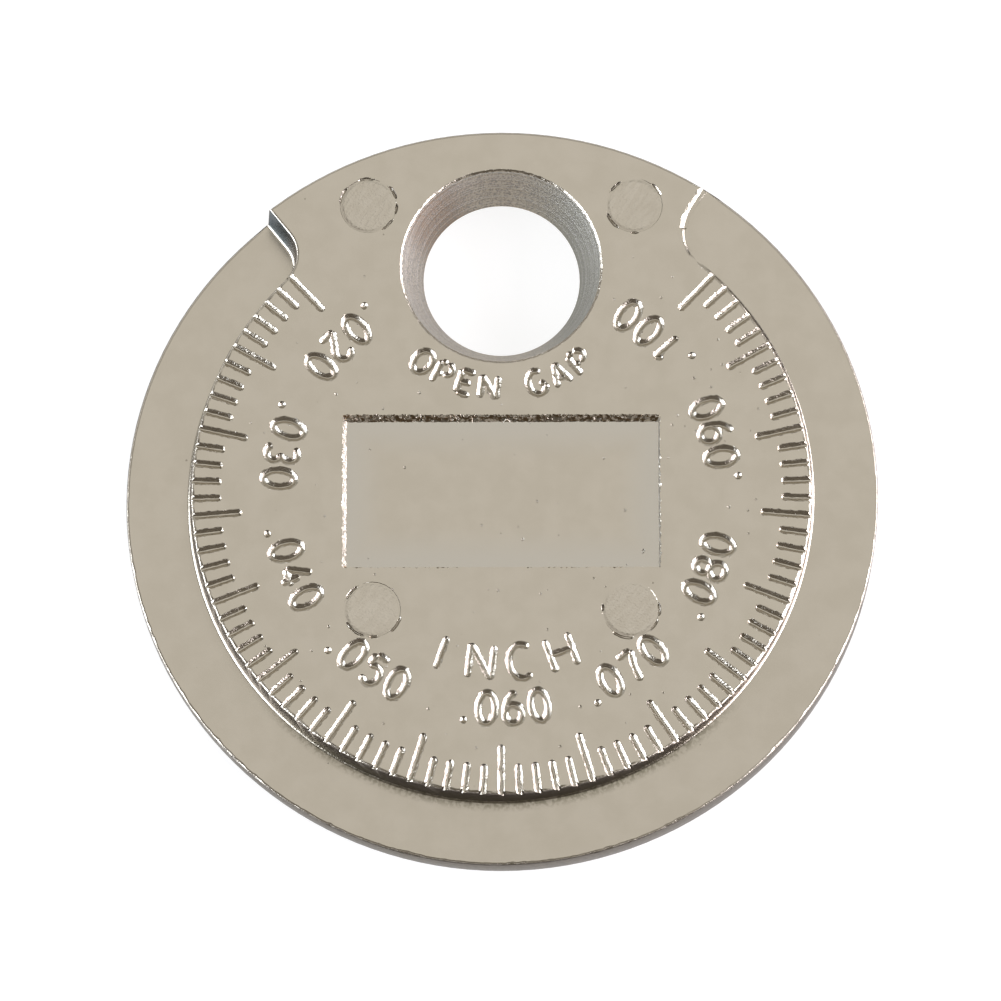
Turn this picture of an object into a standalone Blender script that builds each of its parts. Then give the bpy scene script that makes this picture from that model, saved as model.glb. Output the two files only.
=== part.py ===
"""Spark plug gap gauge, coin type, in one cast piece.

The gauge is a disc that lies on its flat back. Its scale face carries a raised centre boss, and
round the boss a rim that rises like a screw: the rim is as thick as the value beside it on the
scale. The rim's thin end starts upper left, runs anticlockwise past the bottom and ends upper right.
The scale's 81 grooves run out through the edge of the boss. A tapered hole near the top bends a
plug's electrode open.

Frame: metres, +Z up out of the scale face, +Y towards the hole, origin at the centre of the back.
"""

import math

import bmesh
import bpy
from mathutils import Matrix

MM = 0.001
INCH = 25.4 * MM

# Scale, in inches, and the gap that it leaves at the top of the disc
FIRST_VALUE = 0.020
LAST_VALUE = 0.100
VALUE_PER_TICK = 0.001
SCALE_GAP = math.radians(87.0)
FIRST_ANGLE = (math.pi + SCALE_GAP) / 2.0
SCALE_SWEEP = 2.0 * math.pi - SCALE_GAP
TICKS_PER_LONG = 5
SHORT_TICK_LENGTH = 1.52 * MM
LONG_TICK_LENGTH = 2.53 * MM
GROOVE_WIDTH = 0.34 * MM
GROOVE_FLOOR_WIDTH = 0.1 * MM
GROOVE_DEPTH = 0.12 * MM
GROOVE_END_SEGMENTS = 4

# Disc and boss
OUTER_RADIUS = 19.05 * MM
RIM_WIDTH = 3.36 * MM
BOSS_RADIUS = OUTER_RADIUS - RIM_WIDTH
BOSS_ABOVE_LAST_VALUE = 0.16 * MM
THICKNESS = LAST_VALUE * INCH + BOSS_ABOVE_LAST_VALUE
EDGE_BREAK = 0.15 * MM
RIM_SEGMENTS = 144
EDGE_SEGMENTS = 3

# Ramp
RAMP_BEFORE_SCALE = math.radians(5.0)
RAMP_AFTER_SCALE = math.radians(10.2)
STEP_CORNER_RADIUS = min(1.7 * MM, RIM_WIDTH / 2.0)
RAMP_STATIONS = 100
CORNER_SEGMENTS = 5

# Wall between the face and the ramp: a rounded lip, a slight draft and a fillet at the root
LIP_RADIUS = 0.18 * MM
ROOT_FILLET = 0.2 * MM
WALL_DRAFT = 0.06
WALL_SEGMENTS = 3
CORNER_SPREAD = 0.03 * MM

# Tapered hole
HOLE_FACE_RADIUS = 5.08 * MM
HOLE_BACK_RADIUS = 4.0 * MM
WALL_ABOVE_HOLE = 2.07 * MM
HOLE_CENTRE_Y = OUTER_RADIUS - WALL_ABOVE_HOLE - HOLE_FACE_RADIUS
HOLE_EDGE_BREAK = 0.08 * MM
HOLE_SEGMENTS = 72

# Recess in the middle of the face
RECESS_LENGTH = 16.0 * MM
RECESS_HEIGHT = 7.85 * MM
RECESS_DEPTH = 0.38 * MM
RECESS_WALL_RUN = 0.2 * MM
RECESS_CORNER_RADIUS = 0.3 * MM
RECESS_CORNER_SEGMENTS = 3

# Marks of the casting's four ejector pins
EJECTOR_RADIUS = 1.42 * MM
EJECTOR_DEPTH = 0.05 * MM
UPPER_EJECTOR_FROM_RIM = 2.49 * MM
UPPER_EJECTOR_ANGLE = math.radians(24.2)
LOWER_EJECTOR_INSIDE_RECESS_END = 1.5 * MM
LOWER_EJECTOR_UNDER_RECESS = 2.22 * MM
EJECTOR_SEGMENTS = 28

# How far a cutter reaches past the metal that it cuts, and past a wall that it only just passes
OVERCUT = 1.0 * MM
RUN_OUT = 0.05 * MM

NICKEL_COLOUR = (0.46, 0.42, 0.35, 1.0)


def clear_scene():
    for thing in list(bpy.data.objects):
        bpy.data.objects.remove(thing, do_unlink=True)


def nickel_plate():
    """Satin nickel plate over the casting."""
    material = bpy.data.materials.new("nickel_plate")
    material.use_nodes = True
    shader = material.node_tree.nodes["Principled BSDF"]
    shader.inputs["Base Color"].default_value = NICKEL_COLOUR
    shader.inputs["Metallic"].default_value = 1.0
    shader.inputs["Roughness"].default_value = 0.35
    return material


def object_from_bmesh(name, bm):
    bmesh.ops.recalc_face_normals(bm, faces=bm.faces)
    mesh = bpy.data.meshes.new(name)
    bm.to_mesh(mesh)
    bm.free()
    thing = bpy.data.objects.new(name, mesh)
    bpy.context.collection.objects.link(thing)
    return thing


def make_cutter(name, bm):
    cutter = object_from_bmesh(name, bm)
    cutter.hide_render = True
    cutter.display_type = 'WIRE'
    return cutter


def cut(body, cutter):
    boolean = body.modifiers.new(cutter.name, 'BOOLEAN')
    boolean.operation = 'DIFFERENCE'
    boolean.solver = 'EXACT'
    boolean.object = cutter


def add_loops(bm, loops):
    """Close a stack of loops, each with as many points as the next, into a solid."""
    rings = [[bm.verts.new(point) for point in loop] for loop in loops]
    for lower, upper in zip(rings, rings[1:]):
        count = len(lower)
        for k in range(count):
            after = (k + 1) % count
            bm.faces.new((lower[k], lower[after], upper[after], upper[k]))
    bm.faces.new(list(reversed(rings[0])))
    bm.faces.new(rings[-1])


def circle_points(radius, height, segments, centre_x=0.0, centre_y=0.0):
    points = []
    for k in range(segments):
        angle = 2.0 * math.pi * k / segments
        points.append((centre_x + radius * math.cos(angle), centre_y + radius * math.sin(angle), height))
    return points


def make_disc():
    """The blank: a full-thickness disc with rounded edges."""
    bm = bmesh.new()
    bmesh.ops.create_cone(
        bm,
        cap_ends=True,
        segments=RIM_SEGMENTS,
        radius1=OUTER_RADIUS,
        radius2=OUTER_RADIUS,
        depth=THICKNESS,
        matrix=Matrix.Translation((0.0, 0.0, THICKNESS / 2.0)),
    )
    disc = object_from_bmesh("gauge_disc", bm)
    edges = disc.modifiers.new("rounded_edges", 'BEVEL')
    edges.width = EDGE_BREAK
    edges.segments = EDGE_SEGMENTS
    edges.limit_method = 'ANGLE'
    edges.angle_limit = math.radians(60.0)
    return disc


def ramp_thickness(angle):
    """The rim's thickness, which equals the scale's value at that angle."""
    share = (angle - FIRST_ANGLE) / SCALE_SWEEP
    return (FIRST_VALUE + (LAST_VALUE - FIRST_VALUE) * share) * INCH


def wall_profile(floor):
    """Points (distance out from the wall, height) down the wall from above the face to the ramp.

    Where the ramp is nearly as high as the face, the lip and the fillet turn less and meet.
    """
    drop = THICKNESS - floor
    rounded = LIP_RADIUS + ROOT_FILLET
    turn = math.acos(1.0 - min(drop / rounded, 1.0))
    lean = WALL_DRAFT * max(drop - rounded, 0.0)
    lip = []
    for k in range(WALL_SEGMENTS + 1):
        part = turn * k / WALL_SEGMENTS
        out = LIP_RADIUS * (math.sin(part) - math.sin(turn))
        lip.append((out, THICKNESS - LIP_RADIUS * (1.0 - math.cos(part))))
    start_out = 1.5 * lip[0][0] - 0.5 * lip[1][0]
    start_up = 1.5 * lip[0][1] - 0.5 * lip[1][1]
    lip[0] = (start_out, start_up)
    root = []
    for k in reversed(range(WALL_SEGMENTS)):
        part = turn * k / WALL_SEGMENTS
        out = lean + ROOT_FILLET * (math.sin(turn) - math.sin(part))
        root.append((out, floor + ROOT_FILLET * (1.0 - math.cos(part))))
    return lip + root


def ramp_section(nominal_floor, floor):
    """Points (radius, height) across the ramp, from inside the boss's edge to outside the rim.

    The radii follow the station's nominal floor, and the heights the floor at the point itself.
    """
    radii = [BOSS_RADIUS + out for out, up in wall_profile(nominal_floor)]
    heights = [up for out, up in wall_profile(floor)]
    points = list(zip(radii, heights))
    root_end = radii[-1]
    corner_end = BOSS_RADIUS + STEP_CORNER_RADIUS
    for k in range(1, CORNER_SEGMENTS + 1):
        share = k / CORNER_SEGMENTS
        points.append((root_end + (corner_end - root_end) * share, floor))
    flat_end = OUTER_RADIUS - EDGE_BREAK
    for k in range(EDGE_SEGMENTS):
        turn = math.pi / 2.0 * k / EDGE_SEGMENTS
        out = flat_end + EDGE_BREAK * math.sin(turn)
        up = floor - EDGE_BREAK * (1.0 - math.cos(turn))
        points.append((out, up))
    points.append((OUTER_RADIUS + RUN_OUT, floor - EDGE_BREAK))
    points.append((OUTER_RADIUS + OVERCUT, floor - EDGE_BREAK))
    return points


def arc_from_step(level, column, profile, radius):
    """How far along the rim a level of the step's wall stands at one column, round the inner corner."""
    out = profile[level][0]
    if column < level:
        return STEP_CORNER_RADIUS + (level - column) * CORNER_SPREAD
    depth = max(BOSS_RADIUS + STEP_CORNER_RADIUS - radius, 0.0)
    reach = max((STEP_CORNER_RADIUS - out) ** 2 - depth ** 2, 0.0)
    return STEP_CORNER_RADIUS - math.sqrt(reach)


def ramp_row(nominal_angle, angles_and_levels):
    """One row of the ramp cutter's floor: a point for each column of the section."""
    nominal_floor = ramp_thickness(nominal_angle)
    row = []
    for column, (angle, level) in enumerate(angles_and_levels):
        radius, height = ramp_section(nominal_floor, ramp_thickness(angle))[column]
        if level is not None:
            height = max(height, wall_profile(ramp_thickness(angle))[level][1])
        row.append((radius * math.cos(angle), radius * math.sin(angle), height))
    return row


def make_ramp_cutter():
    """The metal above the rising rim, with a step at each end that is rounded into the boss."""
    start = FIRST_ANGLE - RAMP_BEFORE_SCALE
    end = FIRST_ANGLE + SCALE_SWEEP + RAMP_AFTER_SCALE
    top = THICKNESS + OVERCUT
    step_rows = {}
    for side, wall_angle, away in (("thin", start, 1.0), ("thick", end, -1.0)):
        floor = ramp_thickness(wall_angle)
        profile = wall_profile(floor)
        radii = [radius for radius, height in ramp_section(floor, floor)]
        rows = []
        for level in range(len(profile)):
            spots = []
            for column, radius in enumerate(radii):
                arc = arc_from_step(level, column, profile, radius)
                spots.append((wall_angle + away * arc / max(radius, BOSS_RADIUS), level))
            rows.append(spots)
        step_rows[side] = rows
    rows = [ramp_row(start, spots) for spots in step_rows["thin"]]
    first = step_rows["thin"][-1]
    last = step_rows["thick"][-1]
    for i in range(1, RAMP_STATIONS):
        share = i / RAMP_STATIONS
        spots = [(a + (b - a) * share, None) for (a, level), (b, other) in zip(first, last)]
        rows.append(ramp_row(start + (end - start) * share, spots))
    rows += [ramp_row(end, spots) for spots in reversed(step_rows["thick"])]
    bm = bmesh.new()
    lower = [[bm.verts.new(point) for point in row] for row in rows]
    upper = [[bm.verts.new((x, y, top)) for x, y, z in row] for row in rows]
    across = len(rows[0])
    for i in range(len(rows) - 1):
        for j in range(across - 1):
            bm.faces.new((lower[i][j], lower[i][j + 1], lower[i + 1][j + 1], lower[i + 1][j]))
            bm.faces.new((upper[i][j], upper[i + 1][j], upper[i + 1][j + 1], upper[i][j + 1]))
        for j in (0, across - 1):
            bm.faces.new((lower[i][j], lower[i + 1][j], upper[i + 1][j], upper[i][j]))
    for i in (0, len(rows) - 1):
        for j in range(across - 1):
            bm.faces.new((lower[i][j], lower[i][j + 1], upper[i][j + 1], upper[i][j]))
    return make_cutter("ramp_cutter", bm)


def make_hole_cutter():
    """The tapered hole, widest at the scale face, with its upper edge broken."""
    slope = (HOLE_FACE_RADIUS - HOLE_BACK_RADIUS) / THICKNESS
    levels = [
        (HOLE_BACK_RADIUS - slope * OVERCUT, -OVERCUT),
        (HOLE_FACE_RADIUS - slope * HOLE_EDGE_BREAK, THICKNESS - HOLE_EDGE_BREAK),
        (HOLE_FACE_RADIUS + 2.0 * HOLE_EDGE_BREAK, THICKNESS + HOLE_EDGE_BREAK),
    ]
    bm = bmesh.new()
    add_loops(bm, [circle_points(r, z, HOLE_SEGMENTS, 0.0, HOLE_CENTRE_Y) for r, z in levels])
    return make_cutter("hole_cutter", bm)


def rounded_rectangle(length, height, corner, level):
    points = []
    for side_x, side_y, first_turn in ((1, 1, 0.0), (-1, 1, 0.5), (-1, -1, 1.0), (1, -1, 1.5)):
        centre_x = side_x * (length / 2.0 - corner)
        centre_y = side_y * (height / 2.0 - corner)
        for k in range(RECESS_CORNER_SEGMENTS + 1):
            turn = math.pi * (first_turn + 0.5 * k / RECESS_CORNER_SEGMENTS)
            x = centre_x + corner * math.cos(turn)
            y = centre_y + corner * math.sin(turn)
            points.append((x, y, level))
    return points


def make_recess_cutter():
    """The bare rectangular recess, with sloping walls."""
    slope = RECESS_WALL_RUN / RECESS_DEPTH
    floor_inset = RECESS_WALL_RUN
    rim_outset = slope * RECESS_DEPTH
    floor_corner = RECESS_CORNER_RADIUS / 2.0
    floor = rounded_rectangle(
        RECESS_LENGTH - 2.0 * floor_inset,
        RECESS_HEIGHT - 2.0 * floor_inset,
        floor_corner,
        THICKNESS - RECESS_DEPTH,
    )
    mouth = rounded_rectangle(
        RECESS_LENGTH + 2.0 * rim_outset,
        RECESS_HEIGHT + 2.0 * rim_outset,
        2.0 * RECESS_CORNER_RADIUS - floor_corner,
        THICKNESS + RECESS_DEPTH,
    )
    bm = bmesh.new()
    add_loops(bm, [floor, mouth])
    return make_cutter("recess_cutter", bm)


def groove_outline(half_width, inner_radius, outer_radius, angle, level):
    """A slot along a radius of the disc: square at its outer end, round at its inner end."""
    along = (math.cos(angle), math.sin(angle))
    across = (-along[1], along[0])
    local = [(outer_radius, -half_width), (outer_radius, half_width)]
    for k in range(GROOVE_END_SEGMENTS + 1):
        turn = math.pi / 2.0 + math.pi * k / GROOVE_END_SEGMENTS
        local.append((inner_radius + half_width * math.cos(turn), half_width * math.sin(turn)))
    points = []
    for out, side in local:
        x = out * along[0] + side * across[0]
        y = out * along[1] + side * across[1]
        points.append((x, y, level))
    return points


def make_scale_cutter():
    """All the scale's grooves: one for each value, and every fifth one long."""
    tick_count = round((LAST_VALUE - FIRST_VALUE) / VALUE_PER_TICK) + 1
    outer_end = BOSS_RADIUS + RUN_OUT
    floor_half = GROOVE_FLOOR_WIDTH / 2.0
    face_half = GROOVE_WIDTH / 2.0
    mouth_half = 2.0 * face_half - floor_half
    bm = bmesh.new()
    for k in range(tick_count):
        angle = FIRST_ANGLE + SCALE_SWEEP * k / (tick_count - 1)
        length = LONG_TICK_LENGTH if k % TICKS_PER_LONG == 0 else SHORT_TICK_LENGTH
        inner = BOSS_RADIUS - length + face_half
        floor = groove_outline(floor_half, inner, outer_end, angle, THICKNESS - GROOVE_DEPTH)
        mouth = groove_outline(mouth_half, inner, outer_end, angle, THICKNESS + GROOVE_DEPTH)
        add_loops(bm, [floor, mouth])
    return make_cutter("scale_cutter", bm)


def make_ejector_cutter():
    """Four shallow round marks, two beside the hole and two under the recess."""
    upper_radius = OUTER_RADIUS - UPPER_EJECTOR_FROM_RIM
    upper_x = upper_radius * math.sin(UPPER_EJECTOR_ANGLE)
    upper_y = upper_radius * math.cos(UPPER_EJECTOR_ANGLE)
    lower_x = RECESS_LENGTH / 2.0 - LOWER_EJECTOR_INSIDE_RECESS_END
    lower_y = -RECESS_HEIGHT / 2.0 - LOWER_EJECTOR_UNDER_RECESS
    floor_level = THICKNESS - EJECTOR_DEPTH
    mouth_level = THICKNESS + EJECTOR_DEPTH
    mouth_radius = EJECTOR_RADIUS + EJECTOR_DEPTH
    bm = bmesh.new()
    for x, y in ((-upper_x, upper_y), (upper_x, upper_y), (-lower_x, lower_y), (lower_x, lower_y)):
        floor = circle_points(EJECTOR_RADIUS, floor_level, EJECTOR_SEGMENTS, x, y)
        mouth = circle_points(mouth_radius, mouth_level, EJECTOR_SEGMENTS, x, y)
        add_loops(bm, [floor, mouth])
    return make_cutter("ejector_cutter", bm)


def main():
    clear_scene()
    disc = make_disc()
    disc.data.materials.append(nickel_plate())
    disc.data.shade_smooth()
    disc.data.set_sharp_from_angle(angle=math.radians(30.0))
    cut(disc, make_ramp_cutter())
    cut(disc, make_hole_cutter())
    cut(disc, make_recess_cutter())
    cut(disc, make_scale_cutter())
    cut(disc, make_ejector_cutter())


main()
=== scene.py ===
import math
import random

import bpy
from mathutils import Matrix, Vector, noise


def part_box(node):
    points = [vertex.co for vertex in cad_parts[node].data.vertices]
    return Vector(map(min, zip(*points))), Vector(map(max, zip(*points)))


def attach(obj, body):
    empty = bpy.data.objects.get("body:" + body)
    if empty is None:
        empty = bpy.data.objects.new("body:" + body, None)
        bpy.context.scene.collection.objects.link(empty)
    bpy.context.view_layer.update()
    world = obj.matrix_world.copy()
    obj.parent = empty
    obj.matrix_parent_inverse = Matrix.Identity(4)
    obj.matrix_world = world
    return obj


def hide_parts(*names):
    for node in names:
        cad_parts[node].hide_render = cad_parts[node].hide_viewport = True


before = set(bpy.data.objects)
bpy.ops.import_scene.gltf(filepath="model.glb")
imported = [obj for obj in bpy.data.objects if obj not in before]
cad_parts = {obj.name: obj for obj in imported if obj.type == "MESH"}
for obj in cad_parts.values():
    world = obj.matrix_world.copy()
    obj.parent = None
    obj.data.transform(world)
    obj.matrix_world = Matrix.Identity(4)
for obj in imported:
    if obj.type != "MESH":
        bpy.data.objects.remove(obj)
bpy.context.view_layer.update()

# The gauge is one zinc die casting, plated with nickel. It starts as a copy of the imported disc, whose
# loose triangles are merged first, so that the engraving can be cut in it.
MM = 0.001
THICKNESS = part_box("gauge_disc")[1].z
BOSS_RADIUS = 15.69 * MM
HOLE_CENTRE_Y = 11.9 * MM
SAME_POINT = 0.002 * MM
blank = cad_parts["gauge_disc"]
bpy.ops.object.select_all(action='DESELECT')
gauge = bpy.data.objects.new("engraved_gauge", blank.data.copy())
bpy.context.collection.objects.link(gauge)
gauge.select_set(True)
bpy.context.view_layer.objects.active = gauge
bpy.ops.object.mode_set(mode='EDIT')
bpy.ops.mesh.select_all(action='SELECT')
bpy.ops.mesh.customdata_custom_splitnormals_clear()
bpy.ops.mesh.remove_doubles(threshold=SAME_POINT)
bpy.ops.object.mode_set(mode='OBJECT')

# The scale's grooves and all the figures are cut like a V with soft lips. The section of the cut is a
# flat curve that is swept along each stroke, and a stroke grows narrow and shallow at its two ends. The
# casting isn't exact, so the walls of the cuts waver a little.
STROKE_END = ((0.0, 0.3), (0.05, 0.66), (0.11, 0.88), (0.18, 1.0))
STROKE_STEP = 0.12 * MM
STROKE_CLOSES = 0.01 * MM
SAME_STROKE_POINT = 0.0005 * MM
WAVER = 0.022 * MM
WAVER_SCALE = 5200.0
WAVER_SEED = 5
noise.seed_set(WAVER_SEED)


def cutting_section(name, half_section, mirrored=True):
    """A closed section from the points (width, height) of its right half, floor first, or of all of it."""
    bpy.ops.object.select_all(action='DESELECT')
    bpy.ops.object.add(type='CURVE')
    section = bpy.context.object
    section.name = name
    section.data.dimensions = '2D'
    outline = [(out * MM, up * MM) for out, up in half_section]
    if mirrored:
        outline += [(-out, up) for out, up in reversed(outline)]
    loop = section.data.splines.new('POLY')
    loop.points.add(len(outline) - 1)
    for point, (out, up) in zip(loop.points, outline):
        point.co = (out, up, 0.0, 1.0)
    loop.use_cyclic_u = True
    return section


def point_along(path, distance):
    """The point at a distance along a path of straight pieces."""
    for first, second in zip(path, path[1:]):
        piece = math.dist(first, second)
        if distance <= piece:
            share = distance / piece
            return tuple(a + (b - a) * share for a, b in zip(first, second))
        distance -= piece
    return path[-1]


def cutting_stroke(name, section, stroke):
    """A mesh in the shape of the metal that one stroke takes away, given in millimetres."""
    bpy.ops.object.select_all(action='DESELECT')
    bpy.ops.object.add(type='CURVE')
    swept = bpy.context.object
    swept.name = name
    swept.data.dimensions = '3D'
    swept.data.twist_mode = 'Z_UP'
    swept.data.bevel_mode = 'OBJECT'
    swept.data.bevel_object = section
    swept.data.use_fill_caps = True
    path = [(x * MM, y * MM) for x, y in stroke]
    closed = math.dist(path[0], path[-1]) < STROKE_CLOSES
    if closed:
        stations = [(x, y, 1.0) for x, y in path[:-1]]
    else:
        length = sum(math.dist(a, b) for a, b in zip(path, path[1:]))
        ends = [(share * MM, size) for share, size in STROKE_END if share * MM < length / 2.0]
        last = ends[-1][0]
        count = max(1, round((length - 2.0 * last) / STROKE_STEP))
        marks = list(ends)
        for k in range(1, count):
            marks.append((last + (length - 2.0 * last) * k / count, 1.0))
        marks += [(length - out, size) for out, size in reversed(ends)]
        stations = [point_along(path, out) + (size,) for out, size in marks]
    spline = swept.data.splines.new('POLY')
    spline.points.add(len(stations) - 1)
    for point, (x, y, size) in zip(spline.points, stations):
        point.co = (x, y, 0.0, 1.0)
        point.radius = size
    spline.use_cyclic_u = closed
    bpy.ops.object.convert(target='MESH')
    bpy.ops.object.mode_set(mode='EDIT')
    bpy.ops.mesh.select_all(action='SELECT')
    bpy.ops.mesh.remove_doubles(threshold=SAME_STROKE_POINT)
    bpy.ops.mesh.quads_convert_to_tris()
    bpy.ops.mesh.normals_make_consistent(inside=False)
    bpy.ops.object.mode_set(mode='OBJECT')
    return bpy.context.object


def stamp_copy(stamp, centre_x, centre_y, turn):
    """A copy of a cutting mesh, turned and set on the scale face."""
    bpy.ops.object.select_all(action='DESELECT')
    stamp.select_set(True)
    bpy.context.view_layer.objects.active = stamp
    bpy.ops.object.duplicate()
    copy = bpy.context.object
    copy.location = (centre_x, centre_y, THICKNESS)
    copy.rotation_euler = (0.0, 0.0, turn)
    bpy.ops.object.transform_apply(location=True, rotation=True, scale=True)
    return copy


def cut_from_gauge(cutters, patterns, waver=0.0):
    """Joins the cutters and takes them from the gauge, then deletes them and their patterns."""
    bpy.ops.object.select_all(action='DESELECT')
    for cutter in cutters:
        cutter.select_set(True)
    bpy.context.view_layer.objects.active = cutters[0]
    bpy.ops.object.join()
    tool = bpy.context.object
    for point in tool.data.vertices:
        point.co += noise.noise_vector(point.co * WAVER_SCALE) * waver
    bpy.ops.object.select_all(action='DESELECT')
    gauge.select_set(True)
    bpy.context.view_layer.objects.active = gauge
    cut = gauge.modifiers.new(tool.name, 'BOOLEAN')
    cut.operation = 'DIFFERENCE'
    cut.solver = 'MANIFOLD'
    cut.object = tool
    bpy.ops.object.modifier_apply(modifier=cut.name)
    bpy.ops.object.select_all(action='DESELECT')
    tool.select_set(True)
    for pattern in patterns:
        pattern.select_set(True)
    bpy.ops.object.delete()


# The scale has 81 grooves that run out through the edge of the boss, and every fifth one is long. The
# casting's polish has rounded their lips, so each is cut again a little wider than in the solid.
FIRST_ANGLE = math.radians(133.5)
SCALE_SWEEP = math.radians(273.0)
TICK_COUNT = 81
TICK_LENGTH = 1.52
LONG_TICK_LENGTH = 2.53
LONG_TICK_EVERY = 5
TICK_SECTION = (
    (0.03, -0.145), (0.08, -0.106), (0.13, -0.064), (0.175, -0.026), (0.215, 0.003), (0.235, 0.1),
)
RUN_PAST_START = 0.04
RUN_PAST_EDGE = 0.24
tick_section = cutting_section("tick_section", TICK_SECTION)
tick_ends = []
for length in (TICK_LENGTH, LONG_TICK_LENGTH):
    start = BOSS_RADIUS / MM - length - RUN_PAST_START
    tick_ends.append([(start, 0.0), (BOSS_RADIUS / MM + RUN_PAST_EDGE, 0.0)])
short_tick = cutting_stroke("short_tick", tick_section, tick_ends[0])
long_tick = cutting_stroke("long_tick", tick_section, tick_ends[1])
ticks = []
for number in range(TICK_COUNT):
    pattern = long_tick if number % LONG_TICK_EVERY == 0 else short_tick
    angle = FIRST_ANGLE + SCALE_SWEEP * number / (TICK_COUNT - 1)
    ticks.append(stamp_copy(pattern, 0.0, 0.0, angle))
cut_from_gauge(ticks, [short_tick, long_tick, tick_section], WAVER)

# The numbers stand along the scale with their tops towards the middle of the disc, each with a dot before
# it. They were cut in the die with a round cutter, so each figure is made of plain narrow strokes.
FIGURE_SECTION = (
    (0.012, -0.145), (0.07, -0.104), (0.13, -0.06), (0.178, -0.024), (0.222, 0.003), (0.24, 0.1),
)
FIRST_NUMBER = 20
NUMBER_STEP = 10
NUMBER_RADIUS = 11.27
NUMBER_PITCH = math.radians(6.75)
DOT_BEFORE_FIGURE = math.radians(5.3)
DOT_BELOW = 0.74
NUMBER_SHIFTS = (4.0, 2.1, 0.85, -0.35, 3.0, 1.7, 0.65, 3.5, 1.9)
MOST_STROKES = 3
figure_section = cutting_section("figure_section", FIGURE_SECTION)


def oval(centre_x, centre_y, half_width, half_height, first, last, count=20):
    """Points on an oval from one angle to another, in degrees anticlockwise from the right."""
    points = []
    for k in range(count + 1):
        turn = math.radians(first + (last - first) * k / count)
        points.append((centre_x + half_width * math.cos(turn), centre_y + half_height * math.sin(turn)))
    return points


FIGURES = {
    "0": [oval(0.0, 0.0, 0.43, 0.79, 90, 450, 28)],
    "1": [[(0.12, 0.8), (0.12, -0.8)], [(0.12, 0.78), (-0.22, 0.45)]],
    "2": [oval(-0.01, 0.36, 0.4, 0.43, 165, -30, 12) + [(-0.42, -0.76)], [(-0.44, -0.78), (0.44, -0.78)]],
    "3": [oval(0.0, 0.38, 0.36, 0.4, 155, -90, 14), oval(0.0, -0.4, 0.42, 0.39, 90, -155, 14)],
    "4": [[(0.22, 0.86), (-0.45, -0.34)], [(-0.47, -0.36), (0.48, -0.36)], [(0.18, 0.22), (0.18, -0.82)]],
    "5": [[(-0.32, 0.79), (0.38, 0.79)], [(-0.34, 0.79), (-0.38, 0.1)],
          oval(-0.02, -0.27, 0.44, 0.5, 138, -150, 18)],
    "6": [oval(0.0, -0.3, 0.43, 0.48, 180, -180, 22), oval(0.24, -0.3, 0.67, 1.1, 180, 92, 10)],
    "7": [[(-0.45, 0.79), (0.42, 0.79)], [(0.42, 0.78), (0.12, 0.1), (-0.08, -0.82)]],
    "8": [oval(0.0, 0.4, 0.36, 0.38, 90, 450, 20), oval(0.0, -0.39, 0.43, 0.4, 90, 450, 22)],
    "9": [oval(0.0, 0.3, 0.43, 0.48, 0, 360, 22), oval(-0.24, 0.3, 0.67, 1.1, 0, -88, 10)],
}
figure_stamps = {}
for figure, strokes in FIGURES.items():
    figure_stamps[figure] = [cutting_stroke("figure", figure_section, stroke) for stroke in strokes]
DOT_STROKE = [(0.0, -0.19), (0.0, 0.19)]
figure_stamps["."] = [cutting_stroke("dot", figure_section, DOT_STROKE)]
figure_places = []
for k, shift in enumerate(NUMBER_SHIFTS):
    middle = FIRST_ANGLE + SCALE_SWEEP * k / (len(NUMBER_SHIFTS) - 1) + math.radians(shift)
    for column, figure in enumerate("%03d" % (FIRST_NUMBER + NUMBER_STEP * k)):
        angle = middle + NUMBER_PITCH * (column - 1)
        figure_places.append((figure, NUMBER_RADIUS, angle, angle + math.pi / 2.0))
    figure_places.append((".", NUMBER_RADIUS + DOT_BELOW, middle - NUMBER_PITCH - DOT_BEFORE_FIGURE, 0.0))
for stroke_number in range(MOST_STROKES):
    cutters = []
    for figure, radius, angle, figure_turn in figure_places:
        stamps = figure_stamps[figure]
        if stroke_number < len(stamps):
            x = radius * MM * math.cos(angle)
            y = radius * MM * math.sin(angle)
            cutters.append(stamp_copy(stamps[stroke_number], x, y, figure_turn))
    patterns = [stamps[stroke_number] for stamps in figure_stamps.values() if stroke_number < len(stamps)]
    cut_from_gauge(cutters, patterns, WAVER)

# Two short words say what the scale counts and what the hole is for. They are cut like the numbers, in
# plain capitals, one on an arc under the recess and one round the foot of the hole.
LETTER_SECTION = ((0.012, -0.14), (0.07, -0.1), (0.125, -0.06), (0.17, -0.024), (0.21, 0.003), (0.23, 0.1))
LETTERS = {
    "A": [[(-0.5, -0.75), (0.0, 0.78)], [(0.0, 0.78), (0.5, -0.75)], [(-0.33, -0.25), (0.33, -0.25)]],
    "C": [oval(0.0, 0.0, 0.54, 0.75, 48, 312, 22)],
    "E": [[(-0.42, 0.75), (-0.42, -0.75)], [(-0.42, 0.74), (0.46, 0.74)], [(-0.42, 0.0), (0.36, 0.0)],
          [(-0.42, -0.74), (0.46, -0.74)]],
    "G": [oval(0.0, 0.0, 0.54, 0.75, 48, 345, 24), [(0.1, -0.12), (0.56, -0.12)]],
    "H": [[(-0.5, 0.75), (-0.5, -0.75)], [(0.5, 0.75), (0.5, -0.75)], [(-0.5, 0.02), (0.5, 0.02)]],
    "I": [[(0.0, 0.75), (0.0, -0.75)]],
    "N": [[(-0.5, -0.75), (-0.5, 0.75)], [(-0.5, 0.74), (0.5, -0.74)], [(0.5, -0.75), (0.5, 0.75)]],
    "O": [oval(0.0, 0.0, 0.54, 0.75, 90, 450, 28)],
    "P": [[(-0.45, 0.75), (-0.45, -0.75)], [(-0.45, 0.74), (0.0, 0.74)],
          oval(0.0, 0.36, 0.45, 0.38, 90, -90, 10), [(0.0, -0.02), (-0.45, -0.02)]],
}
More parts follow.
